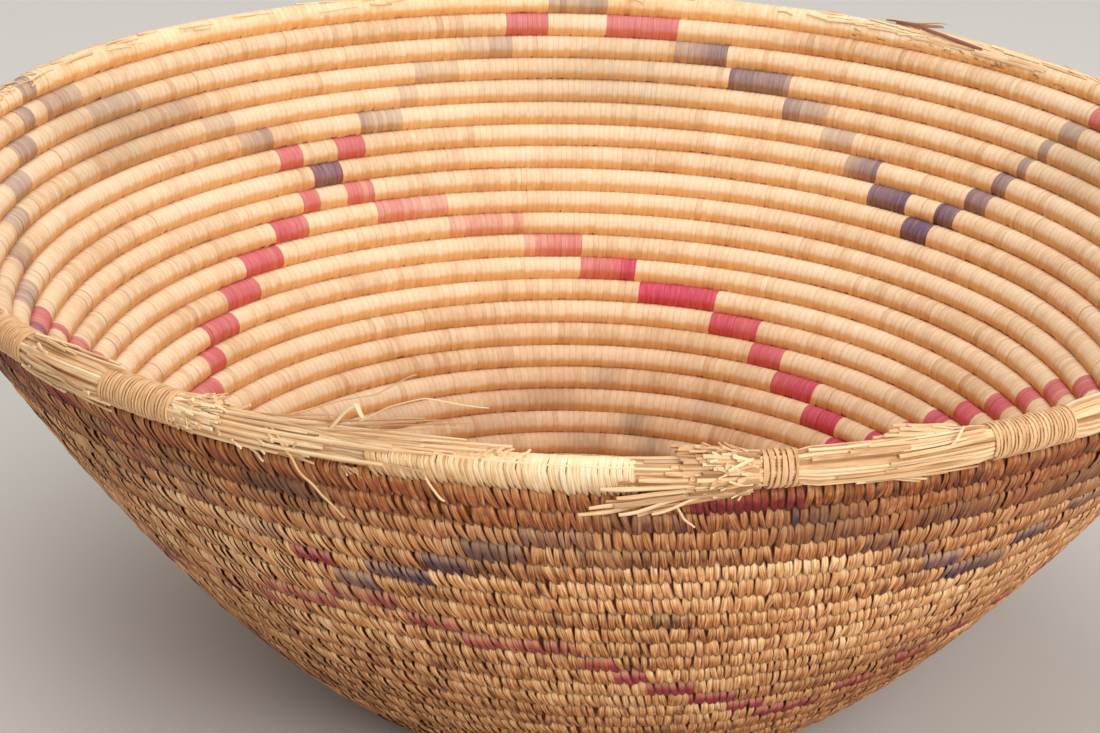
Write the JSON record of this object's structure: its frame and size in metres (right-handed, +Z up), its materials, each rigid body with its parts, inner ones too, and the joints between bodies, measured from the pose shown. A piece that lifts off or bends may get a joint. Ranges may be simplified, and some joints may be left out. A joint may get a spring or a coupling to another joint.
{
  "type": "harvesting basket",
  "caption": "Wide, shallow coiled grass basket with a stepped zigzag pattern in red and purple and a worn rim.",
  "frame": {"origin": "on the basket's axis, on the surface that it stands on", "axes": "+Z up along the basket's axis, from base to rim; -Y towards the worn front of the rim, +X to its right"},
  "size_m": [0.6003, 0.6071, 0.265],
  "materials": {
    "wrapped_coil": "dry grass sewn with split palm strips, partly dyed red and purple",
    "pale_coil": "pale wrapped coil of the rim",
    "bare_straw": "bare dry straw",
    "lashing_strand": "split palm strip",
    "dark_strand": "purple-dyed split palm strip"
  },
  "bodies": {
    "root": {"base_coil": "wrapped_coil", "lower_wall_coil": "wrapped_coil", "middle_wall_coil": "wrapped_coil", "upper_wall_coil": "wrapped_coil", "front_rim_coil": "pale_coil", "back_rim_coil": "pale_coil", "left_rim_bundle": "bare_straw", "worn_rim_bundle": "bare_straw", "right_rim_bundle": "bare_straw", "dark_strand": "dark_strand", "far_left_lashing": "lashing_strand", "left_lashing": "lashing_strand", "centre_lashing": "lashing_strand", "right_lashing": "lashing_strand", "loose_straw_1": "bare_straw", "loose_straw_2": "bare_straw", "loose_straw_3": "bare_straw", "loose_straw_4": "bare_straw", "loose_straw_5": "bare_straw", "loose_straw_6": "bare_straw", "loose_straw_7": "bare_straw", "loose_straw_8": "bare_straw", "broken_straw_1": "bare_straw", "broken_straw_2": "bare_straw", "broken_straw_3": "bare_straw", "broken_straw_4": "bare_straw", "broken_straw_5": "bare_straw", "frayed_straw_1": "bare_straw", "frayed_straw_2": "bare_straw", "frayed_straw_3": "bare_straw", "frayed_straw_4": "bare_straw", "frayed_straw_5": "bare_straw", "frayed_straw_6": "bare_straw", "frayed_straw_7": "bare_straw", "top_strand": "bare_straw", "bent_straw": "bare_straw", "long_stray_hair": "bare_straw", "short_stray_hair": "bare_straw", "left_hanging_thread": "bare_straw", "middle_hanging_thread": "bare_straw", "right_hanging_thread": "bare_straw", "string_loop": "bare_straw", "long_split_straw": "bare_straw", "short_split_straw": "bare_straw", "upper_flap_straw": "bare_straw", "lower_flap_straw": "bare_straw"}
  },
  "joints": []
}
